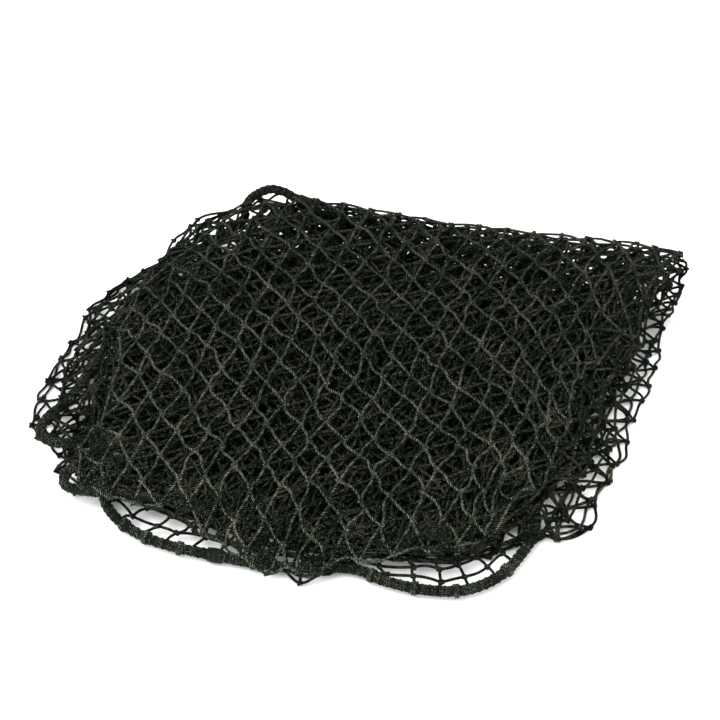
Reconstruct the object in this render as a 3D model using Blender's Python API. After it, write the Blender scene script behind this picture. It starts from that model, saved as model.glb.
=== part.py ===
"""Hay net of knotted twine with a border rope, folded flat for storage.

The netting is folded back and forth into sixteen plies, eight in each half, and the upper half is folded over
the lower one along the back edge. Each ply is a thin plate of the ply's own outline. The border rope lies
along the front and the left side of the lower half and crosses to the upper half at the back left corner.

Metres. X runs along the back fold, +Y is the back, +Z is up, and the bundle lies on z = 0.
"""

import math

import bmesh
import bpy
from mathutils import Vector

# ---- driving dimensions ----
HALF_WIDTH = 0.2535          # of the whole bundle, along X
HALF_DEPTH = 0.2165          # of the whole bundle, along Y
PLIES_PER_HALF = 8
PLY_PITCH = 0.0046           # from one ply to the next
CLEARANCE = 0.0003           # between touching pieces
FOLD_Y = HALF_DEPTH + 0.0007 # the back fold, which the upper half opens about
FOLD_Z = 0.0395

ROPE_DIAMETER = 0.010
HITCH_THICKNESS = 0.0032     # two turns of twine, drawn tight
ROPE_Z = 0.0086              # height of the rope's middle where it lies on its hitches
ROPE_RESOLUTION = 2          # the bevel's resolution
ROPE_LONGEST_STEP = 0.028    # between the points of the rope's own line
ROPE_SHORTEST_STEP = 0.009
ROPE_STEP_TURN = 0.32        # radians: a step ends where the route has turned this much
FRONT_RUN_Y = -0.12          # the front run lies in front of this
FRONT_RUN_RISE = 0.001       # and no higher than this over ROPE_Z
FINE_STEPS = 24              # to a span of a route, for the smooth curve through it

WHIPPING_LENGTH = 0.016
WHIPPING_WALL = 0.0010
SEIZING_LENGTH = 0.020
SEIZING_WALL = 0.0014
SEIZING_X = -0.042
BINDING_SIDES = 14           # of whippings, seizing and hitches
HITCH_X = (0.150, 0.118, 0.084, -0.010, -0.072, -0.101, -0.124, 0.183)

# How far each ply reaches to the left and to the right. Plies joined by a side fold share a reach.
LOWER_REACH = (
    (0.215, 0.232), (0.2535, 0.232), (0.2535, 0.2535), (0.238, 0.2535),
    (0.238, 0.224), (0.198, 0.224), (0.198, 0.212), (0.192, 0.212),
)
UPPER_REACH = (
    (0.200, 0.222), (0.215, 0.222), (0.215, 0.214), (0.205, 0.214),
    (0.205, 0.228), (0.215, 0.228), (0.215, 0.206), (0.195, 0.206),
)
LOWER_FRONT = 0.140          # the lower half stops short of the rope's runs
UPPER_FRONT = 0.1985         # the upper half lies over them
OUTER_PLY_SETBACK = 0.010    # the outermost plies round off the back fold
BOTTOM_PLY_THINNING = 0.0009 # the lowest ply is pressed flat
TIP_MARGIN = 0.010           # of front edge cleared on each side of the tip
TIP = ((0.064, -0.139), (0.030, -HALF_DEPTH), (-0.004, -0.139))   # the mesh that hangs out in front

# Outlines in fractions of the reach, clockwise from the back left corner.
LOWER_SHAPE = (
    (-0.55, 1.0), (0.1, 1.0), (0.93, 1.0), (1.0, 0.6), (1.0, 0.25), (0.86, -0.05), (0.60, -0.42),
    (0.45, -1.0), (-0.1, -1.0), (-0.6, -0.95), (-0.9, -0.65), (-1.0, -0.2), (-1.0, 0.25), (-0.86, 0.7),
)
UPPER_SHAPE = (
    (-0.55, 1.0), (0.1, 1.0), (0.93, 1.0), (1.0, 0.6), (1.0, 0.1), (0.95, -0.35), (0.75, -0.8),
    (0.35, -1.0), (-0.15, -1.0), (-0.6, -0.95), (-0.9, -0.65), (-1.0, -0.2), (-1.0, 0.25), (-0.86, 0.7),
)
TOP_SHAPE = ((-0.20, 1.0),) + UPPER_SHAPE[1:-1] + ((-0.72, 0.72),)   # leaves the rope's corner free
TOP_SHAPE_FROM = 4           # the upper plies, counted from below, that have that shape

# The rope's route through the lower half: in from the right, along the front, and back in three bends.
ROPE_LOWER_ROUTE = (
    (0.182, -0.062, 0.0086), (0.191, -0.086, 0.0086), (0.196, -0.112, 0.0086), (0.191, -0.140, 0.0086),
    (0.180, -0.168, 0.0086), (0.158, -0.190, 0.0086), (0.128, -0.1985, 0.0086), (0.096, -0.198, 0.0086),
    (0.065, -0.192, 0.0086), (0.020, -0.204, 0.0086), (-0.013, -0.207, 0.0086), (-0.042, -0.2075, 0.0086),
    (-0.080, -0.2072, 0.0086), (-0.110, -0.201, 0.0086), (-0.136, -0.187, 0.0088), (-0.151, -0.170, 0.0105),
    (-0.146, -0.156, 0.0150), (-0.122, -0.1495, 0.0190), (-0.060, -0.150, 0.0195), (0.020, -0.150, 0.0195),
    (0.090, -0.150, 0.0195), (0.122, -0.1515, 0.0195), (0.132, -0.1595, 0.0195), (0.122, -0.1675, 0.0195),
    (0.080, -0.169, 0.0195), (0.000, -0.169, 0.0195), (-0.070, -0.169, 0.0198), (-0.125, -0.1715, 0.0212),
    (-0.158, -0.178, 0.0218), (-0.182, -0.1745, 0.0190), (-0.187, -0.160, 0.0200), (-0.174, -0.150, 0.0240),
    (-0.154, -0.147, 0.0285), (-0.142, -0.138, 0.0295), (-0.152, -0.129, 0.0295), (-0.180, -0.131, 0.0295),
    (-0.206, -0.138, 0.0295), (-0.222, -0.131, 0.0295), (-0.225, -0.112, 0.0295), (-0.216, -0.080, 0.0295),
    (-0.213, -0.020, 0.0295), (-0.211, 0.050, 0.0295), (-0.199, 0.110, 0.0295), (-0.180, 0.158, 0.0295),
    (-0.168, 0.184, 0.0298), (-0.1590, 0.2040, 0.0305), (-0.1560, 0.2105, 0.0350), (-0.1560, 0.2105, 0.0391),
)
# The rope's route on the upper half: up over the back left corner and in between the top plies.
ROPE_UPPER_ROUTE = (
    (-0.156, 0.2105, 0.0397), (-0.156, 0.2105, 0.0440), (-0.150, 0.2100, 0.0560), (-0.140, 0.2088, 0.0660),
    (-0.128, 0.2080, 0.0728), (-0.115, 0.2075, 0.0725), (-0.104, 0.2075, 0.0675), (-0.086, 0.2078, 0.0625),
)

TWINE_BLACK = (0.018, 0.020, 0.017, 1.0)
ROPE_BLACK = (0.024, 0.025, 0.023, 1.0)
WHIPPING_BLACK = (0.014, 0.015, 0.014, 1.0)


def clear_scene():
    for obj in list(bpy.data.objects):
        bpy.data.objects.remove(obj, do_unlink=True)


def make_material(name, colour, roughness):
    material = bpy.data.materials.new(name)
    material.use_nodes = True
    shader = material.node_tree.nodes["Principled BSDF"]
    shader.inputs["Base Color"].default_value = colour
    shader.inputs["Roughness"].default_value = roughness
    shader.inputs["Metallic"].default_value = 0.0
    return material


def add_object(name, data, material, fold=None):
    """Adds a piece modelled in place. With fold, its parent is the empty on the back fold, which turns it."""
    obj = bpy.data.objects.new(name, data)
    data.materials.append(material)
    bpy.context.scene.collection.objects.link(obj)
    if fold is not None:
        obj.parent = fold
        obj.location = -fold.location
    return obj


def add_fold():
    fold = bpy.data.objects.new("back_fold", None)
    fold.location = (0.0, FOLD_Y, FOLD_Z)
    bpy.context.scene.collection.objects.link(fold)
    return fold


def curve_point(points, index, t, closed):
    """A Catmull-Rom curve through the points, t from 0 to 1 between points index and index + 1."""
    count = len(points)
    if closed:
        p0, p1, p2, p3 = (Vector(points[(index + k) % count]) for k in (-1, 0, 1, 2))
    else:
        p1, p2 = Vector(points[index]), Vector(points[index + 1])
        p0 = Vector(points[index - 1]) if index > 0 else 2 * p1 - p2
        p3 = Vector(points[index + 2]) if index + 2 < count else 2 * p2 - p1
    a = 2 * p1
    b = p2 - p0
    c = 2 * p0 - 5 * p1 + 4 * p2 - p3
    d = -p0 + 3 * p1 - 3 * p2 + p3
    return (a + b * t + c * t * t + d * t ** 3) / 2


def ply_outline(shape, left, right, front, back):
    """The ply's outline as (x, y) points, clockwise seen from above."""
    points = []
    for i in range(len(shape)):
        for t in (0.0, 0.5):
            p = curve_point([(x, y, 0.0) for x, y in shape], i, t, True)
            x = max(-1.0, min(1.0, p.x))
            y = max(-1.0, min(1.0, p.y))
            points.append((x * (left if x < 0 else right), y * (front if y < 0 else back)))
    return points


def add_tip(points):
    """Replaces the middle of the front edge with the mesh that hangs out."""
    (high_x, base_y), (low_x, _) = TIP[0], TIP[2]
    kept = [(x, y) for x, y in points
            if y >= base_y or not low_x - TIP_MARGIN < x < high_x + TIP_MARGIN]
    at = next(i for i, (x, y) in enumerate(kept) if x < low_x and y < base_y + TIP_MARGIN)
    return kept[:at] + list(TIP) + kept[at:]


def make_plate(name, outline, bottom, thickness, material, fold):
    bm = bmesh.new()
    face = bm.faces.new([bm.verts.new((x, y, bottom)) for x, y in outline])
    face.normal_update()
    grown = bmesh.ops.extrude_face_region(bm, geom=[face])
    top = [v for v in grown["geom"] if isinstance(v, bmesh.types.BMVert)]
    bmesh.ops.translate(bm, verts=top, vec=(0.0, 0.0, thickness))
    bmesh.ops.recalc_face_normals(bm, faces=bm.faces)
    mesh = bpy.data.meshes.new(name)
    bm.to_mesh(mesh)
    bm.free()
    return add_object(name, mesh, material, fold)


def rope_points(route):
    """Points along the route, closer together where it bends. The first and last spans stay straight."""
    middle = [curve_point(route, i, k / FINE_STEPS, False)
              for i in range(1, len(route) - 2) for k in range(FINE_STEPS)]
    fine = [Vector(route[0])] + middle + [Vector(route[-2]), Vector(route[-1])]
    points, last = [fine[0], fine[1]], 1
    for i in range(2, len(fine) - 1):
        walked = sum((fine[k + 1] - fine[k]).length for k in range(last, i))
        before, after = fine[i] - fine[last], fine[i + 1] - fine[i]
        turn = before.angle(after, 0.0)
        if walked >= ROPE_LONGEST_STEP or (turn > ROPE_STEP_TURN and walked >= ROPE_SHORTEST_STEP):
            points.append(fine[i])
            last = i
    if (points[-1] - fine[-2]).length < ROPE_SHORTEST_STEP:
        points.pop()
    return points + fine[-2:]


def make_rope(name, route, material, fold=None):
    curve = bpy.data.curves.new(name, "CURVE")
    curve.dimensions = "3D"
    curve.bevel_depth = ROPE_DIAMETER / 2
    curve.bevel_resolution = ROPE_RESOLUTION
    curve.use_fill_caps = True
    points = rope_points(route)
    spline = curve.splines.new("POLY")
    spline.points.add(len(points) - 1)
    for target, p in zip(spline.points, points):
        target.co = (p.x, p.y, p.z, 1.0)
    return add_object(name, curve, material, fold)


def on_front_run(points, x):
    """The rope's point and direction where its front run passes x, clear of the line's own corners."""
    for a, b in zip(points, points[1:]):
        in_run = max(a.z, b.z) < ROPE_Z + FRONT_RUN_RISE and max(a.y, b.y) < FRONT_RUN_Y
        if in_run and min(a.x, b.x) <= x <= max(a.x, b.x):
            length = (b - a).length
            margin = min(0.5, HITCH_THICKNESS / length)
            along = min(1.0 - margin, max(margin, (x - a.x) / (b.x - a.x)))
            return a + (b - a) * along, (b - a) / length
    raise ValueError(f"the rope's front run doesn't pass x = {x}")


def near_end(first, second, distance):
    """A point at that distance from the rope's end, and the rope's direction there."""
    direction = (second - first).normalized()
    return first + direction * distance, direction


def make_turned(name, profile, point, direction, material, fold=None):
    """A ring or sleeve turned round the rope from a closed profile of (distance along, radius)."""
    turn = Vector((0.0, 0.0, 1.0)).rotation_difference(direction)
    bm = bmesh.new()
    rings = []
    for k in range(BINDING_SIDES):
        angle = 2 * math.pi * k / BINDING_SIDES
        ring = []
        for along, radius in profile:
            local = Vector((radius * math.cos(angle), radius * math.sin(angle), along))
            ring.append(bm.verts.new(point + turn @ local))
        rings.append(ring)
    for k in range(BINDING_SIDES):
        a, b = rings[k], rings[(k + 1) % BINDING_SIDES]
        for i in range(len(profile)):
            j = (i + 1) % len(profile)
            bm.faces.new((a[i], b[i], b[j], a[j]))
    bmesh.ops.recalc_face_normals(bm, faces=bm.faces)
    mesh = bpy.data.meshes.new(name)
    bm.to_mesh(mesh)
    bm.free()
    mesh.shade_smooth()
    return add_object(name, mesh, material, fold)


def sleeve_profile(length, wall):
    inner = ROPE_DIAMETER / 2 + CLEARANCE
    outer = inner + wall
    half = length / 2
    return [(-half, inner), (-half, outer - wall / 2), (-half + wall / 2, outer),
            (half - wall / 2, outer), (half, outer - wall / 2), (half, inner)]


def hitch_profile(steps=6):
    ring = HITCH_THICKNESS / 2
    middle = ROPE_DIAMETER / 2 + CLEARANCE + ring
    angles = [2 * math.pi * k / steps for k in range(steps)]
    return [(ring * math.sin(a), middle + ring * math.cos(a)) for a in angles]


def build_plies(material, fold):
    thickness = PLY_PITCH - CLEARANCE
    for k in range(2 * PLIES_PER_HALF):
        upper = k >= PLIES_PER_HALF
        order = k - PLIES_PER_HALF if upper else k
        left, right = (UPPER_REACH if upper else LOWER_REACH)[order]
        outermost = k in (0, 2 * PLIES_PER_HALF - 1)
        back = HALF_DEPTH - (OUTER_PLY_SETBACK if outermost else 0.0)
        shape = UPPER_SHAPE if upper else LOWER_SHAPE
        if upper and order >= TOP_SHAPE_FROM:
            shape = TOP_SHAPE
        outline = ply_outline(shape, left, right, UPPER_FRONT if upper else LOWER_FRONT, back)
        if k == 0:
            outline = add_tip(outline)
        height = thickness - (BOTTOM_PLY_THINNING if k == 0 else 0.0)
        make_plate(f"net_ply_{k + 1:02d}", outline, k * PLY_PITCH, height, material, fold if upper else None)


def build_rope(fold):
    rope = make_material("border_rope", ROPE_BLACK, 0.7)
    binding = make_material("whipping_twine", WHIPPING_BLACK, 0.5)
    make_rope("border_rope_lower", ROPE_LOWER_ROUTE, rope)
    make_rope("border_rope_upper", ROPE_UPPER_ROUTE, rope, fold)

    whipping = sleeve_profile(WHIPPING_LENGTH, WHIPPING_WALL)
    reach = WHIPPING_LENGTH / 2
    point, direction = near_end(Vector(ROPE_LOWER_ROUTE[0]), Vector(ROPE_LOWER_ROUTE[1]), reach)
    make_turned("rope_whipping_front", whipping, point, direction, binding)
    point, direction = near_end(Vector(ROPE_UPPER_ROUTE[-1]), Vector(ROPE_UPPER_ROUTE[-2]), reach)
    make_turned("rope_whipping_back", whipping, point, direction, binding, fold)

    point, direction = on_front_run(rope_points(ROPE_LOWER_ROUTE), SEIZING_X)
    make_turned("rope_seizing", sleeve_profile(SEIZING_LENGTH, SEIZING_WALL), point, direction, binding)


def build_hitches(material):
    points = rope_points(ROPE_LOWER_ROUTE)
    for number, x in enumerate(HITCH_X, start=1):
        point, direction = on_front_run(points, x)
        make_turned(f"edge_hitch_{number}", hitch_profile(), point, direction, material)


def main():
    clear_scene()
    fold = add_fold()
    twine = make_material("net_twine", TWINE_BLACK, 0.55)
    build_plies(twine, fold)
    build_rope(fold)
    build_hitches(twine)


main()
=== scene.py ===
"""The looks of the folded hay net: knotted netting in sixteen plies, a braided border rope and its bindings.

The netting is one lattice of knots and bars of twine. It is worked out flat, in eight pairs of plies that are
joined over the back fold, then laid on the pile ply by ply, so that each ply lies on what is under it.
Metres, in the frame's own axes: +X along the back fold, +Y to the back, +Z up.
"""

import math

import bpy
import numpy as np
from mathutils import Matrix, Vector


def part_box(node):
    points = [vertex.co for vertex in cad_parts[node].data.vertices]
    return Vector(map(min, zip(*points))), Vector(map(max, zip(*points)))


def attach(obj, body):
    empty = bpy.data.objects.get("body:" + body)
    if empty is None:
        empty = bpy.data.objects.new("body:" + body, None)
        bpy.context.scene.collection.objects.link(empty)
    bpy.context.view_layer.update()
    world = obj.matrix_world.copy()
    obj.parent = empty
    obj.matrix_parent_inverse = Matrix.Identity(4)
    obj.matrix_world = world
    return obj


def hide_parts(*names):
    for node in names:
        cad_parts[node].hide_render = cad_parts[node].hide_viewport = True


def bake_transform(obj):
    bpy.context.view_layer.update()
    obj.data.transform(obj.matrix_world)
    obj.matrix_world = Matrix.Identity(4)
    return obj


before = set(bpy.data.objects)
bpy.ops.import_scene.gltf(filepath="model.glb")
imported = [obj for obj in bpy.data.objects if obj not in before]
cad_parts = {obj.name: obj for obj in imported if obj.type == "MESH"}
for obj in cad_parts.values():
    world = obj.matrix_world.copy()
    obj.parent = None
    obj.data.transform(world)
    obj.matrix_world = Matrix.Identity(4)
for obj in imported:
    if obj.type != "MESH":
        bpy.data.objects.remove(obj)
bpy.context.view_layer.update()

# ---- camera ----
CAMERA_AZIMUTH = 16.0
CAMERA_ELEVATION = 40.0
CAMERA_DISTANCE = 1.70
CAMERA_FOOT = (0.009, 0.0235, 0.0)     # the point that the distance is measured from
CAMERA_AIM = (0.006, 0.0432, 0.0236)
CAMERA_LENS = 96.6

# ---- netting ----
PAIRS = 8                    # plies that are joined over the back fold, outermost first
PLY_PITCH = 0.0046
TWINE = 0.0025               # diameter
BAR = 0.0305                 # of twine from knot to knot
ROW_STEP = 0.0278            # from knot to knot along a column
COLUMN_STEP = 0.0240
ROW_SHIFT = 0.0180           # each column's knots lie this far along from the next one's
LEFT_BASE = -0.266           # the columns are spaced from here to the right edge
RIGHT_GATHER = (3, 0.75)     # so many columns at the right edge are this share of a step apart
OUTER_GATHER = 0.22          # rows near the back fold are drawn together by this share in the outermost pair
INNER_GATHER = 0.40          # and by this share in the others
GATHER_REACH = 0.12          # within about this distance of the fold
BACK_Y = 0.2165
BACK_ROUND = 0.010           # the outermost ply starts to turn this far in front of BACK_Y
BACK_BULGE = 0.010           # and the middle of its turn stands this far behind
SIDE_BULGE = 0.003

# The bundle's outline: x of its sides at each y, and y of its front at each x.
LEFT_OUTLINE = (
    (-0.205, -0.236), (-0.1125, -0.245), (-0.0545, -0.257), (0.000, -0.264), (0.070, -0.266),
    (0.110, -0.255), (0.150, -0.235), (0.1825, -0.204), (0.2165, -0.162),
)
RIGHT_OUTLINE = (
    (-0.205, 0.230), (-0.070, 0.237), (-0.030, 0.2445), (0.050, 0.2460), (0.100, 0.2510),
    (0.180, 0.2545), (0.2165, 0.261),
)
UPPER_FRONT = (
    (-0.250, -0.112), (-0.210, -0.150), (-0.175, -0.178), (-0.160, -0.185), (-0.145, -0.184),
    (-0.107, -0.183), (-0.080, -0.188), (-0.050, -0.196), (-0.012, -0.209), (0.010, -0.214),
    (0.045, -0.207), (0.070, -0.193), (0.105, -0.183), (0.132, -0.172), (0.155, -0.147),
    (0.176, -0.110), (0.192, -0.080), (0.250, -0.020),
)
LOWER_FRONT = (
    (-0.250, -0.100), (-0.200, -0.145), (-0.172, -0.170), (-0.150, -0.160), (-0.100, -0.165),
    (0.000, -0.178), (0.100, -0.167), (0.130, -0.158), (0.155, -0.144), (0.178, -0.128),
    (0.200, -0.113), (0.2155, -0.103), (0.250, -0.050),
)
# How far the columns of knots lean aside at each y.
LEFT_LEAN = ((-0.205, -0.038), (-0.1125, -0.022), (-0.0545, -0.010), (0.0555, 0.0))
RIGHT_LEAN = ((-0.205, -0.014), (-0.030, 0.0))
# How far each ply ends inside the outline, lowest first. Neighbours that fold into each other share a
# value: on the right 1 and 2, 3 and 4, and so on; on the left 2 and 3, 4 and 5, and so on.
LEFT_SHORT = (0.038, 0.000, 0.000, 0.020, 0.020, 0.054, 0.054, 0.066,
              0.030, 0.056, 0.056, 0.064, 0.064, 0.068, 0.068, 0.064)
RIGHT_SHORT = (0.007, 0.007, 0.000, 0.000, 0.016, 0.016, 0.042, 0.042,
               0.026, 0.026, 0.046, 0.046, 0.036, 0.036, 0.044, 0.044)
FRONT_SHORT = (0.006, 0.006, 0.002, 0.002, 0.012, 0.012, 0.020, 0.020,
               0.026, 0.024, 0.022, 0.018, 0.014, 0.010, 0.006, 0.000)
# Towards the back, some plies come nearer to the outline, by a share of that distance at each y.
LEFT_CORNER = ((-0.020, 0.0), (0.080, 0.7), (0.2165, 0.6))
LEFT_CORNER_PLIES = (9, 10, 11, 12, 13)
RIGHT_CORNER = ((0.090, 0.0), (0.170, 0.6), (0.2165, 1.0))
RIGHT_CORNER_PLIES = (11, 12, 13, 14, 15, 16)
# Others stop further inside it on the left, by so much at each y.
LEFT_CUT = ((0.020, 0.0), (0.140, 0.022), (0.2165, 0.026))
LEFT_CUT_PLIES = (6, 7, 8, 14, 15)
EDGE_WANDER = 0.0055         # how far the loose edges wander in from the outline
EDGE_PROUD = 0.002           # and at most so far out past it
# How far the outer plies' back edge stands behind BACK_Y, as (x, y).
BACK_SHIFT = (
    (-0.15, -0.004), (-0.05, -0.004), (0.04, -0.007), (0.13, 0.001), (0.20, 0.008), (0.26, 0.009),
)

# ---- border rope: the same points as in the CAD model ----
ROPE_RADIUS = 0.005
ROPE_STEP = 0.0015           # between the points of the rope's line
ROPE_LOWER_ROUTE = (
    (0.182, -0.062, 0.0086), (0.191, -0.086, 0.0086), (0.196, -0.112, 0.0086), (0.191, -0.140, 0.0086),
    (0.180, -0.168, 0.0086), (0.158, -0.190, 0.0086), (0.128, -0.1985, 0.0086), (0.096, -0.198, 0.0086),
    (0.065, -0.192, 0.0086), (0.020, -0.204, 0.0086), (-0.013, -0.207, 0.0086), (-0.042, -0.2075, 0.0086),
    (-0.080, -0.2072, 0.0086), (-0.110, -0.201, 0.0086), (-0.136, -0.187, 0.0088), (-0.151, -0.170, 0.0105),
    (-0.146, -0.156, 0.0150), (-0.122, -0.1495, 0.0190), (-0.060, -0.150, 0.0195), (0.020, -0.150, 0.0195),
    (0.090, -0.150, 0.0195), (0.122, -0.1515, 0.0195), (0.132, -0.1595, 0.0195), (0.122, -0.1675, 0.0195),
    (0.080, -0.169, 0.0195), (0.000, -0.169, 0.0195), (-0.070, -0.169, 0.0198), (-0.125, -0.1715, 0.0212),
    (-0.158, -0.178, 0.0218), (-0.182, -0.1745, 0.0190), (-0.187, -0.160, 0.0200), (-0.174, -0.150, 0.0240),
    (-0.154, -0.147, 0.0285), (-0.142, -0.138, 0.0295), (-0.152, -0.129, 0.0295), (-0.180, -0.131, 0.0295),
    (-0.206, -0.138, 0.0295), (-0.222, -0.131, 0.0295), (-0.225, -0.112, 0.0295), (-0.216, -0.080, 0.0295),
    (-0.213, -0.020, 0.0295), (-0.211, 0.050, 0.0295), (-0.199, 0.110, 0.0295), (-0.180, 0.158, 0.0295),
    (-0.168, 0.184, 0.0298), (-0.1590, 0.2040, 0.0305), (-0.1560, 0.2105, 0.0350), (-0.1560, 0.2105, 0.0391),
)
ROPE_UPPER_ROUTE = (
    (-0.156, 0.2105, 0.0397), (-0.156, 0.2105, 0.0440), (-0.150, 0.2100, 0.0560), (-0.140, 0.2088, 0.0660),
    (-0.128, 0.2080, 0.0728), (-0.115, 0.2075, 0.0725), (-0.104, 0.2075, 0.0675), (-0.086, 0.2078, 0.0625),
)

random = np.random.default_rng(7)


# ---- small helpers ----
def smoothstep(low, high, x):
    t = np.clip((x - low) / (high - low), 0.0, 1.0)
    return t * t * (3 - 2 * t)


def along(table, at):
    """Reads a table of (place, value) rows at the given places."""
    places, values = zip(*table)
    return np.interp(at, places, values)


def unit(v):
    return v / np.maximum(np.linalg.norm(v, axis=-1, keepdims=True), 1e-12)


def wavy(count, longest, shortest):
    """A smooth random function of x and y, about -1 to 1: a sum of slanted waves."""
    lengths = random.uniform(shortest, longest, count)
    angles = random.uniform(0.0, 2 * math.pi, count)
    phases = random.uniform(0.0, 2 * math.pi, count)

    def value(x, y):
        total = 0.0
        for length, angle, phase in zip(lengths, angles, phases):
            across = x * math.cos(angle) + y * math.sin(angle)
            total = total + np.sin(2 * math.pi * across / length + phase)
        return total / math.sqrt(count)
    return value


# ---- meshes made of tubes ----
class Tubes:
    """Collects tubes and writes them as one mesh, with a UV map of (metres along, turns round)."""

    def __init__(self):
        self.points, self.faces, self.uvs, self.count = [], [], [], 0

    def add(self, paths, normals, radius, sides, closed=False, flatten=1.0):
        """Adds a tube along each path of an array (tubes, points, 3). normals says which way is up."""
        paths = np.asarray(paths, float)
        tubes, steps, _ = paths.shape
        if closed:
            tangent = unit(np.roll(paths, -1, 1) - np.roll(paths, 1, 1))
        else:
            tangent = unit(np.gradient(paths, axis=1))
        normals = np.broadcast_to(normals, paths.shape)
        side = unit(np.cross(tangent, normals))
        up = np.cross(side, tangent)
        radius = np.broadcast_to(np.asarray(radius, float), (tubes, steps))[..., None, None]
        turn = 2 * math.pi * np.arange(sides) / sides
        ring = (np.cos(turn)[:, None] * side[:, :, None, :]
                + flatten * np.sin(turn)[:, None] * up[:, :, None, :])
        self.points.append((paths[:, :, None, :] + radius * ring).reshape(-1, 3))

        spans = steps if closed else steps - 1
        tube, step, around = np.meshgrid(np.arange(tubes), np.arange(spans), np.arange(sides), indexing="ij")
        after, beside = (step + 1) % steps, (around + 1) % sides
        base = self.count + tube * steps * sides
        quads = np.stack([base + step * sides + around, base + after * sides + around,
                          base + after * sides + beside, base + step * sides + beside], -1)
        walked = np.concatenate([np.zeros((tubes, 1)),
                                 np.cumsum(np.linalg.norm(np.diff(paths, axis=1), axis=-1), 1)], 1)
        closing = walked[:, -1] + np.linalg.norm(paths[:, 0] - paths[:, -1], axis=-1)
        walked = np.concatenate([walked, closing[:, None]], 1)
        u0, u1 = walked[tube, step], walked[tube, step + 1]
        v0, v1 = around / sides, (around + 1) / sides
        uv = np.stack([np.stack([u0, v0], -1), np.stack([u1, v0], -1),
                       np.stack([u1, v1], -1), np.stack([u0, v1], -1)], -2)
        self.faces.append(quads.reshape(-1, 4))
        self.uvs.append(uv.reshape(-1, 4, 2))
        if not closed:
            first = self.count + np.arange(tubes)[:, None] * steps * sides + np.arange(sides)
            self.caps(first, True)
            self.caps(first + (steps - 1) * sides, False)
        self.count += tubes * steps * sides

    def caps(self, rings, start):
        """Closes the tubes' ends with a fan of quads."""
        sides = rings.shape[1]
        for k in range(1, sides - 1, 2):
            quad = rings[:, [0, k, k + 1, (k + 2) % sides]]
            if not start:
                quad = quad[:, ::-1]
            self.faces.append(quad)
            self.uvs.append(np.zeros((len(quad), 4, 2)))

    def piece(self, name, material):
        """All the tubes as one object."""
        points = np.concatenate(self.points).astype(np.float32)
        faces = np.concatenate(self.faces).astype(np.int32)
        uvs = np.concatenate(self.uvs).astype(np.float32)
        mesh = bpy.data.meshes.new(name)
        mesh.vertices.add(len(points))
        mesh.vertices.foreach_set("co", points.ravel())
        mesh.loops.add(faces.size)
        mesh.loops.foreach_set("vertex_index", faces.ravel())
        mesh.polygons.add(len(faces))
        mesh.polygons.foreach_set("loop_start", np.arange(0, faces.size, 4, dtype=np.int32))
        layer = mesh.uv_layers.new(name="TwineUV")
        mesh.update(calc_edges=True)
        layer.data.foreach_set("uv", uvs.ravel())
        mesh.shade_smooth()
        mesh.validate()
        mesh.materials.append(material)
        piece = bpy.data.objects.new(name, mesh)
        bpy.context.scene.collection.objects.link(piece)
        return piece


# ---- materials ----
STRANDS = 3                                  # twisted together, so many ridges show round the twine
GRAIN_ALONG, GRAIN_ROUND = 450.0, 6.0        # noise cells to a metre of twine, and to a turn of its twist
PAINTED_LIGHT_FRONT_Y, PAINTED_LIGHT_BACK_Y = -0.20, 0.20          # y between which the colour goes from its front factor to its back factor: painted light and shade
# The grain's steps from low to high: where each stands, its share of the colour, and that of the glint factor
# times it. The pale shares at the top paint glints on the grain's peaks.
GRAIN_AND_GLINT_STEPS = ((0.36, 0.08, 0.0), (0.50, 0.7, 0.0), (0.59, 0.0, 0.15), (0.67, 0.0, 1.0))
GREENISH, BROWNISH = (0.84, 1.0, 0.84, 1.0), (1.0, 0.90, 0.80, 1.0)
SHEEN_TINT = (0.95, 1.0, 0.94, 1.0)


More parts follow.
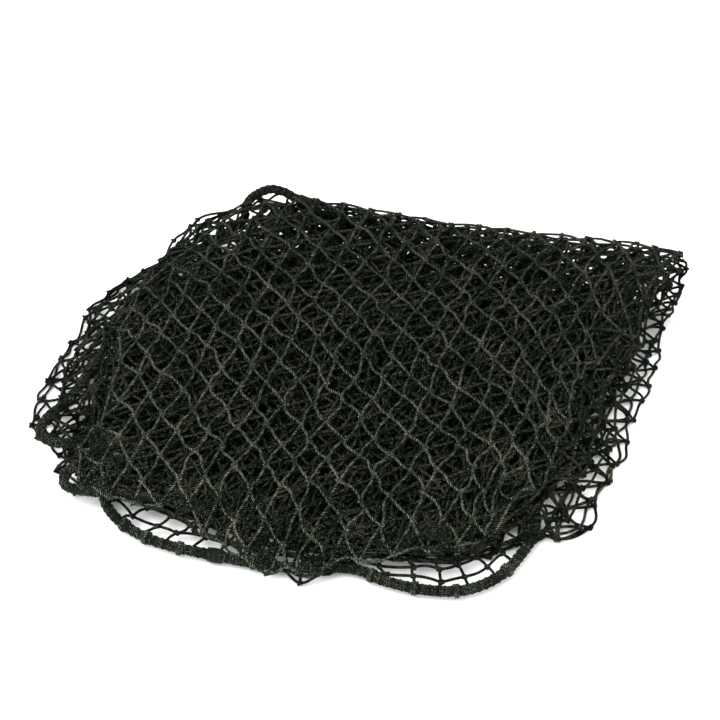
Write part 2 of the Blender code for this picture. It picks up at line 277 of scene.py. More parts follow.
def fibre_material(name, colour, roughness, twist, bump, shine, painted_glint, painted_light_front_back):
    """Black synthetic fibre. Twisted strands show as ridges, and single fibres as a fine, uneven grain.

    twist is the length of a whole turn. The glint factor is the colour's factor at the peaks of the grain,
    where it paints glints, and the front and back factors scale the colour at the front and at the back of
    the bundle: painted light and shade.
    """
    material = bpy.data.materials.new(name)
    material.use_nodes = True
    nodes, links = material.node_tree.nodes, material.node_tree.links
    shader = nodes["Principled BSDF"]

    def node(kind, **settings):
        made = nodes.new(kind)
        for key, value in settings.items():
            setattr(made, key, value)
        return made

    def math_node(operation, a, b):
        made = node("ShaderNodeMath", operation=operation)
        for socket, value in zip(made.inputs, (a, b)):
            if isinstance(value, (int, float)):
                socket.default_value = value
            else:
                links.new(value, socket)
        return made.outputs[0]

    uv = node("ShaderNodeUVMap", uv_map="TwineUV")
    parts = node("ShaderNodeSeparateXYZ")
    links.new(uv.outputs[0], parts.inputs[0])
    turns = math_node("ADD", math_node("MULTIPLY", parts.outputs[0], 1 / twist), parts.outputs[1])
    ridges = math_node("SINE", math_node("MULTIPLY", turns, STRANDS * 2 * math.pi), 0.0)

    place = node("ShaderNodeTexCoord")
    lengthwise = node("ShaderNodeCombineXYZ")
    links.new(math_node("MULTIPLY", parts.outputs[0], GRAIN_ALONG), lengthwise.inputs[0])
    links.new(math_node("MULTIPLY", turns, GRAIN_ROUND), lengthwise.inputs[1])
    grain = node("ShaderNodeTexNoise")
    grain.inputs["Scale"].default_value = 1.0
    grain.inputs["Detail"].default_value = 3.0
    grain.inputs["Roughness"].default_value = 0.7
    links.new(lengthwise.outputs[0], grain.inputs["Vector"])
    wear = node("ShaderNodeTexNoise")
    wear.inputs["Scale"].default_value = 45.0
    wear.inputs["Detail"].default_value = 4.0
    links.new(place.outputs["Object"], wear.inputs["Vector"])

    tone = node("ShaderNodeValToRGB")
    steps = tone.color_ramp.elements
    while len(steps) < len(GRAIN_AND_GLINT_STEPS):
        steps.new(0.5)
    # Each step's colour is its plain share plus its pale share times the glint factor; the pale share is a
    # painted glint.
    for step, (at, plain, pale) in zip(steps, GRAIN_AND_GLINT_STEPS):
        step.position = at
        step.color = tuple((plain + pale * painted_glint) * c for c in colour) + (1.0,)
    mixed = math_node("ADD", math_node("MULTIPLY", grain.outputs["Fac"], 0.8),
                      math_node("MULTIPLY", wear.outputs["Fac"], 0.2))
    # The ridges also shift the colour: painted shade in the grooves between the strands, and crests that
    # reach the painted glints more often.
    mixed = math_node("ADD", mixed, math_node("MULTIPLY", ridges, 0.09))
    links.new(mixed, tone.inputs["Fac"])
    hue = node("ShaderNodeValToRGB")
    for step, at, tint in zip(hue.color_ramp.elements, (0.44, 0.66), (GREENISH, BROWNISH)):
        step.position = at
        step.color = tint
    links.new(wear.outputs["Fac"], hue.inputs["Fac"])
    stained = node("ShaderNodeMix", data_type="RGBA", blend_type="MULTIPLY")
    stained.inputs["Factor"].default_value = 1.0
    links.new(tone.outputs["Color"], stained.inputs[6])
    links.new(hue.outputs["Color"], stained.inputs[7])
    # Painted light and shade: the colour is scaled by y from the front factor to the back factor (the outer
    # twine lighter at the front and darker at the back, the inner twine the other way).
    sides = node("ShaderNodeSeparateXYZ")
    links.new(place.outputs["Object"], sides.inputs[0])
    shade = node("ShaderNodeMapRange")
    shade.inputs["From Min"].default_value, shade.inputs["From Max"].default_value = PAINTED_LIGHT_FRONT_Y, PAINTED_LIGHT_BACK_Y
    shade.inputs["To Min"].default_value, shade.inputs["To Max"].default_value = painted_light_front_back
    links.new(sides.outputs["Y"], shade.inputs["Value"])
    scaled = node("ShaderNodeVectorMath", operation="SCALE")
    links.new(stained.outputs[2], scaled.inputs[0])
    links.new(shade.outputs["Result"], scaled.inputs["Scale"])
    links.new(scaled.outputs[0], shader.inputs["Base Color"])

    rough = node("ShaderNodeMapRange")
    rough.inputs["From Min"].default_value = 0.3
    rough.inputs["From Max"].default_value = 0.7
    rough.inputs["To Min"].default_value = roughness - 0.14
    rough.inputs["To Max"].default_value = roughness + 0.16
    links.new(grain.outputs["Fac"], rough.inputs["Value"])
    links.new(rough.outputs["Result"], shader.inputs["Roughness"])

    height = math_node("ADD", math_node("MULTIPLY", ridges, 0.5),
                       math_node("MULTIPLY", grain.outputs["Fac"], 1.2))
    relief = node("ShaderNodeBump")
    relief.inputs["Strength"].default_value = 1.0
    relief.inputs["Distance"].default_value = bump
    links.new(height, relief.inputs["Height"])
    links.new(relief.outputs["Normal"], shader.inputs["Normal"])

    shader.inputs["Specular IOR Level"].default_value = shine
    shader.inputs["Specular Tint"].default_value = SHEEN_TINT
    return material


# ---- the pile: how high each ply lies ----
GRID_LOW, GRID_HIGH, GRID_STEP = (-0.28, -0.24), (0.28, 0.25), 0.004
EDGE_WAVES = [wavy(4, 0.16, 0.06) for _ in range(4 * PAIRS + 4)]


def edge_wave(ply, right, y):
    """How far a loose edge wanders. Plies that fold into each other wander together."""
    level = ply if ply <= PAIRS else 3 * PAIRS + 1 - ply      # counted from the outside in each half
    fold = (level + (1 if right else 0)) // 2 + (PAIRS if ply > PAIRS else 0)
    wave = EDGE_WANDER * EDGE_WAVES[2 * fold + right](0.0, y) * smoothstep(0.20, 0.12, y)
    return np.minimum(wave, EDGE_PROUD) if right else np.maximum(wave, -EDGE_PROUD)


def left_x(ply, y):
    """The x of the ply's left edge."""
    short = LEFT_SHORT[ply - 1] * (1 - along(LEFT_CORNER, y) * (ply in LEFT_CORNER_PLIES))
    short = short + along(LEFT_CUT, y) * (ply in LEFT_CUT_PLIES)
    return along(LEFT_OUTLINE, y) + short + edge_wave(ply, False, y)


def right_x(ply, y):
    """The x of the ply's right edge."""
    short = RIGHT_SHORT[ply - 1] * (1 - along(RIGHT_CORNER, y) * (ply in RIGHT_CORNER_PLIES))
    return along(RIGHT_OUTLINE, y) - short + edge_wave(ply, True, y)


def front_y(ply, x):
    """The y of the ply's front edge."""
    return along(LOWER_FRONT if ply <= PAIRS else UPPER_FRONT, x) + FRONT_SHORT[ply - 1]


def blurred(field, times):
    """The field with its steps smoothed out."""
    for _ in range(times):
        field = np.pad(field, 1, mode="edge")
        field = (field[:-2] + 2 * field[1:-1] + field[2:]) / 4
        field = (field[:, :-2] + 2 * field[:, 1:-1] + field[:, 2:]) / 4
    return field


def smooth_route(route, per_span):
    """Points on a Catmull-Rom curve through the route. Its first and last spans are straight."""
    p = np.array(route)
    points = [p[0]]
    for i in range(1, len(p) - 2):
        p0, p1, p2, p3 = p[i - 1], p[i], p[i + 1], p[i + 2]
        for t in np.arange(per_span) / per_span:
            points.append((2 * p1 + (p2 - p0) * t + (2 * p0 - 5 * p1 + 4 * p2 - p3) * t * t
                           + (-p0 + 3 * p1 - 3 * p2 + p3) * t ** 3) / 2)
    return np.array(points + [p[-2], p[-1]])


def even_route(points, step):
    """The same line with points a fixed step apart."""
    lengths = np.concatenate([[0.0], np.cumsum(np.linalg.norm(np.diff(points, axis=0), axis=1))])
    at = np.linspace(0.0, lengths[-1], max(2, int(round(lengths[-1] / step)) + 1))
    return np.stack([np.interp(at, lengths, points[:, k]) for k in range(3)], 1)


def rope_line():
    """The rope's middle line, over both halves."""
    lower, upper = smooth_route(ROPE_LOWER_ROUTE, 16), smooth_route(ROPE_UPPER_ROUTE, 16)
    return even_route(np.concatenate([lower, upper]), ROPE_STEP)


class Pile:
    """Lays the plies one by one on a grid of heights, with the rope between them."""

    # Each of these plies lies on the stretches of rope between two heights.
    ROPE_UNDER = {2: (0.0, 0.012), 5: (0.012, 0.026), 8: (0.026, 0.036)}
    ROPE_SLOPE = 0.9             # how steeply a ply falls away beside the rope
    ROPE_REACH = 0.03            # and how far from the rope's line it still does
    SQUEEZE = (-0.20, 0.36)      # the plies lie closest at this y, and ease apart over this depth behind it
    LEVEL_FROM, LEVEL_AT = 0.150, 0.190          # y: between them the plies come to lie level
    SAG = 0.0025                 # a ply sinks no further than this into what is under it

    def __init__(self, rope):
        self.x = np.arange(GRID_LOW[0], GRID_HIGH[0], GRID_STEP)
        self.y = np.arange(GRID_LOW[1], GRID_HIGH[1], GRID_STEP)
        x, y = np.meshgrid(self.x, self.y, indexing="ij")
        sway = wavy(7, 0.22, 0.09)
        eased = np.clip((y - self.SQUEEZE[0]) / self.SQUEEZE[1], 0.0, 1.0)
        pitch = PLY_PITCH * (0.36 + 0.64 * eased) * (0.94 + 0.05 * sway(x, y))
        level = smoothstep(self.LEVEL_FROM, self.LEVEL_AT, y)
        top = np.zeros_like(x)
        self.heights = []
        for ply in range(1, 2 * PAIRS + 1):
            if ply in self.ROPE_UNDER:
                low, high = self.ROPE_UNDER[ply]
                laid = rope[(rope[:, 2] >= low) & (rope[:, 2] < high)][::3]
                for px, py, pz in laid:
                    away = np.hypot(x - px, y - py)
                    tent = pz + ROPE_RADIUS - np.maximum(0.0, away - 0.004) * self.ROPE_SLOPE
                    top = np.where(away < self.ROPE_REACH, np.maximum(top, tent), top)
            inside = np.minimum(np.minimum(x - left_x(ply, y), right_x(ply, y) - x), y - front_y(ply, x))
            covered = smoothstep(-0.010, 0.020, inside)
            lay = np.maximum(blurred(top, 5 + 4 * max(0, ply - 11)), top - self.SAG)
            height = (1 - level) * lay + level * (ply - 1) * PLY_PITCH
            self.heights.append(height + TWINE / 2 + 0.0002)
            top = np.maximum(top * (1 - covered) + covered * (height + pitch), 0.0)

    def height(self, ply, x, y):
        """The height of the ply's twine over points of the floor."""
        field = self.heights[ply - 1]
        i = np.clip((x - GRID_LOW[0]) / GRID_STEP, 0, field.shape[0] - 1.001)
        j = np.clip((y - GRID_LOW[1]) / GRID_STEP, 0, field.shape[1] - 1.001)
        i0, j0 = i.astype(int), j.astype(int)
        u, v = i - i0, j - j0
        return ((1 - u) * (1 - v) * field[i0, j0] + u * (1 - v) * field[i0 + 1, j0]
                + (1 - u) * v * field[i0, j0 + 1] + u * v * field[i0 + 1, j0 + 1])


# ---- the netting's lattice ----
class Pair:
    """Two plies that are one sheet over the back fold.

    t runs along the sheet, from 0 on the fold: negative on the lower ply and positive on the upper one.
    """

    def __init__(self, number, pile, phase):
        self.number, self.pile = number, pile
        self.lower, self.upper = number, 2 * PAIRS + 1 - number
        self.share = (2 * (PAIRS - number) + 1) / (2 * PAIRS - 1)      # 1 on the outermost pair
        self.slant = 1 if number % 2 else -1     # a fold turns the lattice over
        self.half_height = PLY_PITCH * (self.upper - self.lower) / 2
        self.turn_y = BACK_Y - BACK_ROUND * self.share
        self.bulge = (BACK_ROUND + BACK_BULGE) * self.share ** 0.35
        self.arc = math.pi / 2 * math.sqrt((self.bulge ** 2 + self.half_height ** 2) / 2)
        width = np.mean([right_x(ply, y) - LEFT_BASE - LEFT_SHORT[ply - 1]
                         for ply in (self.lower, self.upper) for y in (-0.10, 0.0, 0.10, 0.20)])
        self.columns = int(round(width / COLUMN_STEP + RIGHT_GATHER[0] * (1 - RIGHT_GATHER[1])))
        self.phase = phase
        longest, shortest = (0.60, 0.24) if number == 1 else (0.40, 0.14)
        self.sway_x, self.sway_t = wavy(6, longest, shortest), wavy(6, longest, shortest)
        self.jitter = wavy(9, 0.08, 0.04)

    def y_of(self, x, t):
        """The y of a point of the sheet on its flat stretches."""
        return self.turn_y + self.share * along(BACK_SHIFT, x) - np.maximum(np.abs(t) - self.arc, 0.0)

    def edges(self, t):
        """The x of the sheet's left and right edges, and of the line that its columns are spaced from."""
        y = self.turn_y - np.maximum(np.abs(t) - self.arc, 0.0)
        up = smoothstep(-0.045, 0.045, t)
        left = (1 - up) * left_x(self.lower, y) + up * left_x(self.upper, y)
        right = (1 - up) * right_x(self.lower, y) + up * right_x(self.upper, y)
        base = LEFT_BASE + (1 - up) * LEFT_SHORT[self.lower - 1] + up * LEFT_SHORT[self.upper - 1]
        return left, right, base

    def place(self, x, t):
        """Where points of the flat sheet lie in the folded net."""
        y = self.y_of(x, t)
        low = self.pile.height(self.lower, x, y)
        high = self.pile.height(self.upper, x, y)
        angle = np.clip(t / self.arc, -1, 1) * math.pi / 2
        on_arc = (low + high) / 2 + (high - low) / 2 * np.sin(angle)
        z = np.where(t <= -self.arc, low, np.where(t >= self.arc, high, on_arc))
        y = y + self.bulge * np.cos(angle) * (np.abs(t) < self.arc)
        return np.stack([x, y, z], -1)

    def normal(self, t):
        """Which way the sheet faces."""
        angle = np.clip(t / self.arc, -1, 1) * math.pi / 2
        return np.stack([np.zeros_like(t), np.cos(angle), np.sin(angle) + 1e-3 * (angle == 0)], -1)


def column_places(columns):
    """Where each column lies, as a share of the ply's width. The columns are gathered near the right edge."""
    steps = np.ones(columns)
    steps[columns - RIGHT_GATHER[0]:] = RIGHT_GATHER[1]
    places = np.concatenate([[0.0], np.cumsum(steps)])
    return places / places[-1]


def lay_out(pair):
    """The pair's knots, from (column, row) to (x, t), its bars, as pairs of keys, and its edges' knots.

    The lattice is cut along the left and front edges. The knots next to a cut lie on it, and bars join them.
    """
    knots, left_cut, front_cut = {}, {-1: [], 1: []}, {}
    places = column_places(pair.columns)
    gather = OUTER_GATHER if pair.number == 1 else INNER_GATHER
    for column in range(pair.columns + 1):
        offset = pair.phase + pair.slant * column * ROW_SHIFT
        for row in range(int((-0.5 - offset) / ROW_STEP), int((0.5 - offset) / ROW_STEP) + 1):
            at = row * ROW_STEP + offset
            at -= gather * GATHER_REACH * math.tanh(at / GATHER_REACH)
            t = at
            for _ in range(2):           # again after t has moved onto the front edge
                left, right, base = pair.edges(t)
                y = pair.turn_y - max(abs(t) - pair.arc, 0.0)
                share = places[column]
                x = base + (right - base) * share
                x += (1 - share) * along(LEFT_LEAN, y) + share * along(RIGHT_LEAN, y)
                outside = left - x
                x = float(left if outside > -COLUMN_STEP / 2 else x)
                front = front_y(pair.lower if t < 0 else pair.upper, x)
                end = pair.y_of(x, 0.0) + pair.arc - front
                past = abs(at) - end
                if abs(past) <= ROW_STEP / 2:
                    t = math.copysign(end, t)
            if past > ROW_STEP / 2 or outside > COLUMN_STEP / 2:
                continue
            knots[column, row] = (x, float(t))
            if abs(past) <= ROW_STEP / 2:
                front_cut[column, t > 0] = (column, row)
            if outside > -COLUMN_STEP / 2:
                left_cut[1 if t > 0 else -1].append((abs(t), (column, row)))
    bars = {(key, other) for key in knots
            for other in ((key[0], key[1] + 1), (key[0] + 1, key[1])) if other in knots}
    for (column, above), key in front_cut.items():
        if (column + 1, above) in front_cut:
            bars.add((key, front_cut[column + 1, above]))
    for cut in left_cut.values():
        cut.sort()
        for (_, key), (_, other) in zip(cut, cut[1:]):
            if math.dist(knots[key], knots[other]) < 1.6 * BAR and (other, key) not in bars:
                bars.add((key, other))
    ends = [key for bar in bars for key in bar]
    loose = {key for key in knots if ends.count(key) < 2}
    knots = {key: place for key, place in knots.items() if key not in loose}
    bars = sorted(bar for bar in bars if not loose & set(bar))
    edge = {key for cut in left_cut.values() for _, key in cut} | set(front_cut.values())
    edge |= {key for key in knots if key[0] == pair.columns}
    return knots, bars, edge & set(knots)


def relax(pair, knots, bars, edge):
    """Moves the knots a little at random, then draws in every bar that has become longer than its twine."""
    keys = list(knots)
    index = {k: i for i, k in enumerate(keys)}
    p = np.array([knots[k] for k in keys])
    x, t = p[:, 0].copy(), p[:, 1].copy()
    loose = smoothstep(pair.arc, pair.arc + 0.06, np.abs(t))
    sway = (0.0040 if pair.number == 1 else 0.0070) * (0.25 + 0.75 * loose)
    left, right, _ = pair.edges(t)
    fringe = 1 - smoothstep(0.0, 0.05, np.minimum(x - left, right - x))
    crease = 0.0012 + 0.0012 * smoothstep(0.0, 0.20, x - pair.y_of(x, t)) + 0.0028 * fringe
    p[:, 0] += sway * pair.sway_x(x, t) + random.normal(0, 0.0009, len(p)) + crease * pair.jitter(x, t)
    p[:, 1] += sway * pair.sway_t(x, t) + random.normal(0, 0.0009, len(p)) + crease * pair.jitter(t, x)
    target = p.copy()
    hold = np.array([0.45 if k in edge else 0.06 for k in keys])[:, None]
    bars = np.array([(index[a], index[b]) for a, b in bars])
    degree = np.bincount(bars.ravel(), minlength=len(p))[:, None]
    for _ in range(60):
        d = p[bars[:, 1]] - p[bars[:, 0]]
        length = np.linalg.norm(d, axis=1, keepdims=True)
        wanted = np.clip(length, 0.60 * BAR, BAR)
        pull = d * (1 - wanted / np.maximum(length, 1e-9)) / 2
        move = np.zeros_like(p)
        np.add.at(move, bars[:, 0], pull)
        np.add.at(move, bars[:, 1], -pull)
        p += 0.9 * move / np.maximum(degree, 1) + hold * (target - p)
    y = pair.y_of(p[:, 0], p[:, 1])
    p[:, 0] = np.clip(p[:, 0], along(LEFT_OUTLINE, y), along(RIGHT_OUTLINE, y))
    return {k: p[i] for k, i in index.items()}


BAR_STEPS = 9
BAR_SIDES = 6


def bar_paths(pair, a, b, fix_a, fix_b):
    """The lines of the bars from sheet points a to b. fix_a and fix_b move their ends onto the knots."""
    s = np.linspace(0.0, 1.0, BAR_STEPS)[None, :, None]
    d = b - a
    chord = np.linalg.norm(d, axis=1)
    slack = np.maximum(BAR - chord, 0.0)
    most = 0.0020 + 0.0024 * smoothstep(0.05, 0.25, a[:, 0] - pair.y_of(a[:, 0], a[:, 1]))
    bow = np.minimum(np.sqrt(0.375 * chord * slack), most) * random.uniform(0.3, 1.0, len(a))
    bow = bow * np.where(random.random(len(a)) < 0.5, -1, 1) + random.normal(0, 0.0006, len(a))
    across = np.stack([-d[:, 1], d[:, 0]], 1) / np.maximum(chord, 1e-9)[:, None]
    curve = np.sin(math.pi * s)
    wave = np.sin(2 * math.pi * s) * random.normal(0, 0.0009, len(a))[:, None, None]
    flat = a[:, None] + d[:, None] * s + across[:, None] * (curve * bow[:, None, None] + wave)
    shape = flat.shape[:2]
    placed = pair.place(flat[..., 0].ravel(), flat[..., 1].ravel()).reshape(*shape, 3)
    lift = random.normal(0, 0.0006, len(a))[:, None, None] * curve
    placed[..., 2:] += lift
    placed += fix_a[:, None] * (1 - s) + fix_b[:, None] * s
    placed[..., 2] = np.maximum(placed[..., 2], TWINE / 2)
    return placed, pair.normal(flat[..., 1])


KNOT_STEPS = 18
KNOT_SIDES = 5
KNOT_LOBE = 0.29 * TWINE     # a third of the knot's radius
KNOT_RADIUS = TWINE * 0.43   # of the twine in a knot, which is drawn tight


def knot_paths(centres, normals):
    """A small closed three-lobed knot at each centre, turned at random in the sheet's plane."""
    t = 2 * math.pi * np.arange(KNOT_STEPS) / KNOT_STEPS
    local = np.stack([np.sin(t) + 2 * np.sin(2 * t), np.cos(t) - 2 * np.cos(2 * t), -1.5 * np.sin(3 * t)], 1)
    local = local * KNOT_LOBE
    spin = random.uniform(0.0, 2 * math.pi, len(centres))
    size = random.uniform(0.88, 1.12, len(centres))[:, None, None]
    east = unit(np.cross(np.broadcast_to((0.0, 1.0, 0.0), normals.shape) + 0.01, normals))
    north = np.cross(normals, east)
    c, s = np.cos(spin)[:, None], np.sin(spin)[:, None]
    u, v = c * east + s * north, c * north - s * east
    paths = (local[None, :, :1] * u[:, None] + local[None, :, 1:2] * v[:, None]
             + local[None, :, 2:] * normals[:, None])
    return centres[:, None] + size * paths


KNOT_LOWEST = 0.0026         # a knot's middle lies no lower than this over the floor
HINGE_GAP = 0.0006           # the span worked out for a turn's middle stops this far short of the plies that it joins


def lay_netting(pile, twine, shaded_inner_twine):
    """Makes every ply, and the eight turns that join the plies over the back fold."""
    pairs, sheets = [], []
    for number in range(1, PAIRS + 1):
        pair = Pair(number, pile, random.uniform(0.0, ROW_STEP))
        if number % 2 == 0:
            pair.phase = (pairs[-1].phase + (pairs[-1].columns + pair.columns) * ROW_SHIFT) % ROW_STEP
        pairs.append(pair)
        knots, bars, edge = lay_out(pair)
        sheets.append((relax(pair, knots, bars, edge), bars))

    placed = []
    for pair, (knots, bars) in zip(pairs, sheets):
        keys = list(knots)
        flat = np.array([knots[k] for k in keys])
        where = pair.place(flat[:, 0], flat[:, 1])
        where[:, 2] += random.normal(0, 0.0004, len(keys)) * (np.abs(flat[:, 1]) > pair.arc + 0.03)
        where[:, 2] = np.maximum(where[:, 2], KNOT_LOWEST)
        placed.append(dict(zip(keys, where)))

    # On the right, neighbouring pairs share the knots of the column where their plies fold into each other.
    shared = [set() for _ in pairs]
    for i in range(0, PAIRS, 2):
        a, b = pairs[i], pairs[i + 1]
        ends_a = [k for k in placed[i] if k[0] == a.columns]
        ends_b = {k: sheets[i + 1][0][k][1] for k in placed[i + 1] if k[0] == b.columns}
        for key in ends_a:
            t = sheets[i][0][key][1]
            twin = min(ends_b, key=lambda k: abs(ends_b[k] - t))
            if abs(ends_b[twin] - t) < 0.6 * ROW_STEP and (ends_b[twin] < 0) == (t < 0):
                middle = (placed[i][key] + placed[i + 1][twin]) / 2
                middle[0] += SIDE_BULGE
                placed[i][key] = middle
                placed[i + 1][twin] = middle.copy()
                shared[i + 1].add(twin)

    for i, pair in enumerate(pairs):
        (knots, bars), where = sheets[i], placed[i]
        bars = [(a, b) for a, b in bars if not (a in shared[i] and b in shared[i])]
        flat_a = np.array([knots[a] for a, b in bars])
        flat_b = np.array([knots[b] for a, b in bars])
        fix_a = np.array([where[a] for a, b in bars]) - pair.place(flat_a[:, 0], flat_a[:, 1])
        fix_b = np.array([where[b] for a, b in bars]) - pair.place(flat_b[:, 0], flat_b[:, 1])
        paths, normals = bar_paths(pair, flat_a, flat_b, fix_a, fix_b)
        nearest = np.minimum(np.abs(flat_a[:, 1]), np.abs(flat_b[:, 1]))
        crossing = (nearest < pair.arc + 0.002) | (flat_a[:, 1] * flat_b[:, 1] < 0)
        part = np.where(crossing, 0, np.where(flat_a[:, 1] < 0, -1, 1))

        own = [k for k in knots if k not in shared[i]]
        flat = np.array([knots[k] for k in own])
        centres = np.array([where[k] for k in own])
        knot_normals = pair.normal(flat[:, 1])
        rings = knot_paths(centres, knot_normals)
        knot_part = np.where(np.abs(flat[:, 1]) < pair.arc + 0.002, 0, np.sign(flat[:, 1]))

        for side, name in ((-1, f"netting_ply_{pair.lower:02d}"), (1, f"netting_ply_{pair.upper:02d}"),
                           (0, f"netting_turn_{pair.number}")):
            tubes = Tubes()
            tubes.add(paths[part == side], normals[part == side], TWINE / 2, BAR_SIDES)
            mine = knot_part == side
            tubes.add(rings[mine], knot_normals[mine][:, None, :], KNOT_RADIUS, KNOT_SIDES, closed=True)
            # The outermost pair gets the lit twine, and the plies inside it get the darker copy: painted
            # shade for lying deeper in the pile.
            piece = tubes.piece(name, twine if pair.number == 1 else shaded_inner_twine)
            if side == 0:
                z_low = (pair.lower - 1) * PLY_PITCH + TWINE
                z_high = (pair.upper - 1) * PLY_PITCH
                middle, half = (z_low + z_high) / 2, max(HINGE_GAP, (z_high - z_low) / 2 - HINGE_GAP)
                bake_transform(piece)
            else:
                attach(piece, "root" if side < 0 else "upper_half")
                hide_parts(f"net_ply_{pair.lower if side < 0 else pair.upper:02d}")


# ---- the netting's free edge, between the rope's front run and the bundle ----
SKIRT_EDGE = (                               # a line under the bundle that its meshes run to
    (0.150, -0.080), (0.163, -0.110), (0.163, -0.140), (0.145, -0.165), (0.110, -0.174), (0.060, -0.182),
    (0.000, -0.188), (-0.050, -0.180), (-0.095, -0.166), (-0.125, -0.158), (-0.140, -0.150),
)
SKIRT_ROW = 0.0125           # between rows of knots, from the rope inwards
SKIRT_STEP = 0.0235          # between its columns, along the rope
SKIRT_ROWS = 5
SKIRT_LAG = 0.35             # of a step, which each row falls back behind the one before
SKIRT_HEIGHT, SKIRT_RISE = 0.0095, 0.0015    # at the rope, and from row to row
SKIRT_END = (-0.148, -0.176, 0.0098)         # the skirt ends where the rope passes here
TIP = (                                      # the mesh that hangs over the rope, and its stem
    (0.004, -0.2035, 0.0165), (0.017, -0.2105, 0.0110), (0.030, -0.2140, 0.0040),
    (0.042, -0.2095, 0.0100), (0.054, -0.2010, 0.0165),
)
TIP_STEM = (TIP[2], (0.0305, -0.2105, 0.0130), (0.031, -0.203, 0.0175))


def lay_skirt(rope, material):
    """Meshes that run from the rope in under the bundle, and the one that hangs over the rope."""
    front = rope[: int(np.argmin(np.linalg.norm(rope - np.array(SKIRT_END), axis=1)))]
    inner = even_route(np.array([(x, y, 0.0) for x, y in SKIRT_EDGE]), 0.002)

    def point(share, row):
        """share runs along the rope from right to left, row counts from the rope."""
        on_rope = front[int(round(share * (len(front) - 1)))]
        inside = inner[int(round(share * (len(inner) - 1)))]
        way = inside[:2] - on_rope[:2]
        gap = np.linalg.norm(way)
        out = min(0.0010 + row * SKIRT_ROW, gap)
        z = SKIRT_HEIGHT + SKIRT_RISE * min(row, 3)
        spot = np.array((*(on_rope[:2] + way / gap * out), z))
        if row:
            spot[:2] += random.normal(0, 0.0016, 2)
        return spot

    count = int(round(ROPE_STEP * len(front) / SKIRT_STEP))
    knots = {(k, row): point(np.clip((k - SKIRT_LAG * row) / count, 0.0, 1.0), row)
             for k in range(count + 2) for row in range(SKIRT_ROWS)}
    bars = []
    for k, row in knots:
        for other in ((k, row + 1), (k + 1, row)):
            if other in knots and (row or other[1]):
                bars.append((knots[k, row], knots[other]))
    a, b = (np.array(ends) for ends in zip(*bars))
    s = np.linspace(0.0, 1.0, BAR_STEPS)[None, :, None]
    d = b - a
    across = unit(np.stack([-d[:, 1], d[:, 0], 0 * d[:, 0]], 1))
    bow = random.normal(0, 0.0011, len(a))[:, None, None]
    paths = a[:, None] + d[:, None] * s + across[:, None] * bow * np.sin(math.pi * s)
    tubes = Tubes()
    tubes.add(paths, (0.0, 0.0, 1.0), TWINE / 2, BAR_SIDES)
    tip = even_route(smooth_route((TIP[0],) + TIP + (TIP[-1],), 12), 0.002)
    tubes.add(tip[None], (0.0, -1.0, 0.2), TWINE / 2, BAR_SIDES)
    stem = even_route(np.array(TIP_STEM), 0.002)
    tubes.add(stem[None], (0.0, -1.0, 0.2), TWINE / 2, BAR_SIDES)
    centres = np.array([knots[k] for k in knots if k[1]] + [TIP[2]])
    up = np.broadcast_to((0.0, 0.0, 1.0), centres.shape)
    tubes.add(knot_paths(centres, up), up[:, None, :], KNOT_RADIUS, KNOT_SIDES, closed=True)
    piece = tubes.piece("netting_edge", material)
    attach(piece, "root")


# ---- the border rope ----
BRAID_STRANDS = 5            # each way round
BRAID_PITCH = 0.030
BRAID_RADIUS = 0.0031        # of the strands' middle line
BRAID_WEAVE = 0.00065
STRAND_RADIUS = 0.00150
STRAND_FLATTEN = 0.70
LUMP = 0.00012               # how uneven the braid is
TURN_HEIGHTS = (0.0320, 0.0500)              # at the back, the rope's turn lies between these


def line_frame(line):
    """Two directions across the line, at each of its points, that don't spin round it."""
    tangent = unit(np.gradient(line, axis=0))
    side = np.empty_like(line)
    start = np.cross(tangent[0], (0.0, 0.0, 1.0))
    side[0] = start / np.linalg.norm(start)
    for i in range(1, len(line)):
        s = side[i - 1] - tangent[i] * np.dot(side[i - 1], tangent[i])
        side[i] = s / np.linalg.norm(s)
    return side, np.cross(tangent, side)


lumps = wavy(8, 0.030, 0.006)


def braid(tubes, line, side, up, walked):
    """Strands that wind both ways round the line, over and under each other, and the core under them."""
    for way in (1, -1):
        for k in range(BRAID_STRANDS):
            angle = 2 * math.pi * (k / BRAID_STRANDS + way * walked / BRAID_PITCH)
            out = np.cos(angle)[:, None] * side + np.sin(angle)[:, None] * up
            weave = way * BRAID_WEAVE * np.cos(BRAID_STRANDS * angle)
            radius = BRAID_RADIUS + weave + LUMP * lumps(walked, k)
            path = line + radius[:, None] * out
            tubes.add(path[None], out[None], STRAND_RADIUS, 6, flatten=STRAND_FLATTEN)
    tubes.add(line[None], side[None], BRAID_RADIUS - 0.0007, 8)


def lay_rope(line, material):
    """The rope in three pieces: in each half, and round the turn between them."""
    side, up = line_frame(line)
    walked = np.concatenate([[0.0], np.cumsum(np.linalg.norm(np.diff(line, axis=0), axis=1))])
    rising, risen = (int(np.argmax((line[:, 1] > 0.2) & (line[:, 2] > height))) for height in TURN_HEIGHTS)
    for name, first, last in (("border_rope_front", 0, rising), ("border_rope_turn", rising, risen),
                              ("border_rope_back", risen, len(line) - 1)):
        part = slice(first, last + 1)
        tubes = Tubes()
        braid(tubes, line[part], side[part], up[part], walked[part])
        piece = tubes.piece(name, material)
        if name == "border_rope_turn":
            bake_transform(piece)
        elif name == "border_rope_front":
            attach(piece, "root")
            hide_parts("border_rope_lower")
        else:
            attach(piece, "upper_half")
            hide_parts("border_rope_upper")


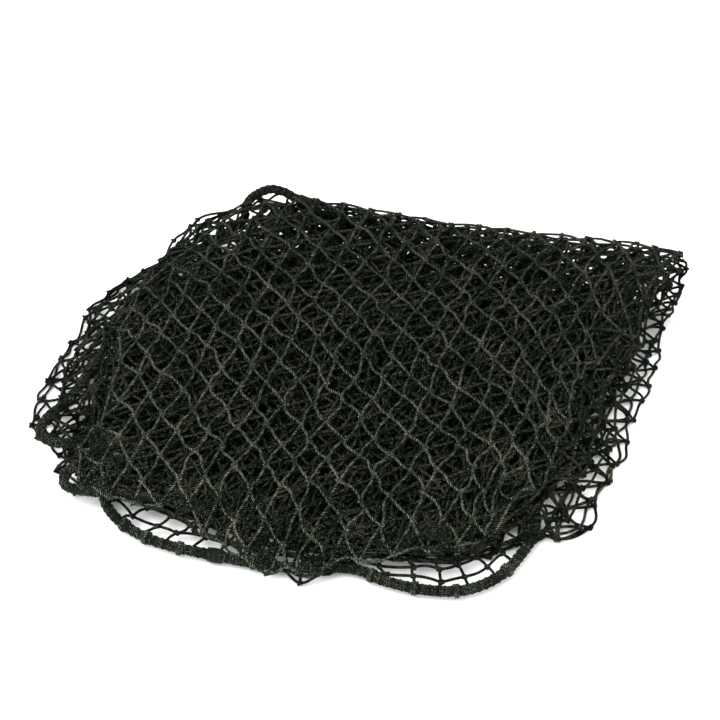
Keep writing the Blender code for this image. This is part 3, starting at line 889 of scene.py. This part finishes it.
def wound(line, side, up, centre, length, radius, thickness, belly=0.0):
    """A tube wound round the rope: (path, outward directions). belly swells the middle of the winding."""
    turns = length / (thickness * 0.95)
    steps = max(8, int(turns * 14))
    s = np.linspace(-0.5, 0.5, steps)
    walked = np.concatenate([[0.0], np.cumsum(np.linalg.norm(np.diff(line, axis=0), axis=1))])
    near = walked[int(np.argmin(np.linalg.norm(line - centre, axis=1)))]
    at = np.clip(near + s * length, 0.0, walked[-1])
    middle = np.stack([np.interp(at, walked, line[:, k]) for k in range(3)], 1)
    east = unit(np.stack([np.interp(at, walked, side[:, k]) for k in range(3)], 1))
    north = unit(np.stack([np.interp(at, walked, up[:, k]) for k in range(3)], 1))
    angle = 2 * math.pi * turns * s
    out = np.cos(angle)[:, None] * east + np.sin(angle)[:, None] * north
    reach = radius + belly * np.cos(math.pi * s) ** 2
    return middle + reach[:, None] * out, out


HITCHES = 8


def lay_bindings(line, twine, whipping):
    """The hitches, the seizing and the whippings, each wound where its CAD node is."""
    side, up = line_frame(line)

    def centre_of(node):
        low, high = (Vector(p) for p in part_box(node))
        return np.array((low + high) / 2)

    # Node, body, length, thickness of the twine, how far the middle swells, material and slot.
    rows = [(f"edge_hitch_{k}", "root", 0.0040, 0.0019, 0.0, twine, "net_twine")
            for k in range(1, HITCHES + 1)]
    rows += [
        ("rope_seizing", "root", 0.013, 0.0016, 0.0005, whipping, "whipping_twine"),
        ("rope_whipping_front", "root", 0.016, 0.0014, 0.0, whipping, "whipping_twine"),
        ("rope_whipping_back", "upper_half", 0.016, 0.0014, 0.0, whipping, "whipping_twine"),
    ]
    for node, body, length, thickness, belly, material, slot in rows:
        path, out = wound(line, side, up, centre_of(node), length, ROPE_RADIUS, thickness, belly)
        tubes = Tubes()
        tubes.add(path[None], out[None], thickness / 2, 6)
        piece = tubes.piece(node + "_coil", material)
        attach(piece, body)
        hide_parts(node)


# ---- stage, light and camera ----
def plain_material(name, colour, roughness):
    material = bpy.data.materials.new(name)
    material.use_nodes = True
    shader = material.node_tree.nodes["Principled BSDF"]
    shader.inputs["Base Color"].default_value = colour
    shader.inputs["Roughness"].default_value = roughness
    return material


def area_light(name, place, target, size, power):
    data = bpy.data.lights.new(name, "AREA")
    data.shape = "DISK"
    data.size = size
    data.energy = power
    light = bpy.data.objects.new(name, data)
    light.location = place
    light.rotation_euler = (Vector(target) - Vector(place)).to_track_quat("-Z", "Y").to_euler()
    bpy.context.scene.collection.objects.link(light)


def set_stage():
    """A pale floor, an even surround and two soft lamps."""
    mesh = bpy.data.meshes.new("floor")
    size = 6.0
    corners = [(-size, -size, 0), (size, -size, 0), (size, size, 0), (-size, size, 0)]
    mesh.from_pydata(corners, [], [(0, 1, 2, 3)])
    floor = bpy.data.objects.new("floor", mesh)
    mesh.materials.append(plain_material("floor_paper", (0.86, 0.86, 0.86, 1.0), 0.9))
    bpy.context.scene.collection.objects.link(floor)

    world = bpy.data.worlds.new("studio")
    bpy.context.scene.world = world
    world.use_nodes = True
    back = world.node_tree.nodes["Background"]
    back.inputs["Color"].default_value = (1.0, 1.0, 1.0, 1.0)
    back.inputs["Strength"].default_value = 1.75
    area_light("key", (-0.35, -0.75, 1.25), (0, 0, 0), 1.1, 22.0)
    area_light("fill", (1.2, -0.9, 1.3), (0, 0, 0), 2.0, 8.0)
    bpy.context.scene.view_settings.view_transform = "Standard"


def set_camera():
    azimuth, elevation = math.radians(CAMERA_AZIMUTH), math.radians(CAMERA_ELEVATION)
    towards = Vector((math.sin(azimuth) * math.cos(elevation), -math.cos(azimuth) * math.cos(elevation),
                      math.sin(elevation)))
    data = bpy.data.cameras.new("camera")
    data.lens = CAMERA_LENS
    data.sensor_width = 36.0
    camera = bpy.data.objects.new("camera", data)
    camera.location = Vector(CAMERA_FOOT) + CAMERA_DISTANCE * towards
    camera.rotation_euler = (Vector(CAMERA_AIM) - camera.location).to_track_quat("-Z", "Y").to_euler()
    bpy.context.scene.collection.objects.link(camera)
    bpy.context.scene.camera = camera


set_camera()
set_stage()
# The last pair of factors in each fibre paints light and shade into its colour, from the front of the bundle
# to its back.
twine = fibre_material(
    "net_twine", (0.0062, 0.0069, 0.0058),
    roughness=0.45, twist=0.006, bump=0.00040, shine=0.03, painted_glint=32.0, painted_light_front_back=(1.40, 0.66))
# The inner plies' twine is the same fibre made darker: painted shade, because they lie under the outer plies.
shaded_inner_twine = fibre_material(
    "net_twine_inner_painted_shade", (0.0023, 0.0026, 0.0021),
    roughness=0.50, twist=0.006, bump=0.00040, shine=0.01, painted_glint=42.0, painted_light_front_back=(0.80, 1.20))
rope_fibre = fibre_material(
    "border_rope", (0.0034, 0.0038, 0.0032),
    roughness=0.55, twist=0.006, bump=0.00050, shine=0.04, painted_glint=34.0, painted_light_front_back=(1.0, 0.6))
whipping = fibre_material(
    "whipping_twine", (0.0052, 0.0057, 0.0049),
    roughness=0.45, twist=0.005, bump=0.00030, shine=0.08, painted_glint=14.0, painted_light_front_back=(1.2, 0.6))
rope = rope_line()
pile = Pile(rope)
lay_netting(pile, twine, shaded_inner_twine)
# The skirt under the bundle gets the darker copy too: painted shade.
lay_skirt(rope, shaded_inner_twine)
lay_rope(rope, rope_fibre)
lay_bindings(rope, twine, whipping)
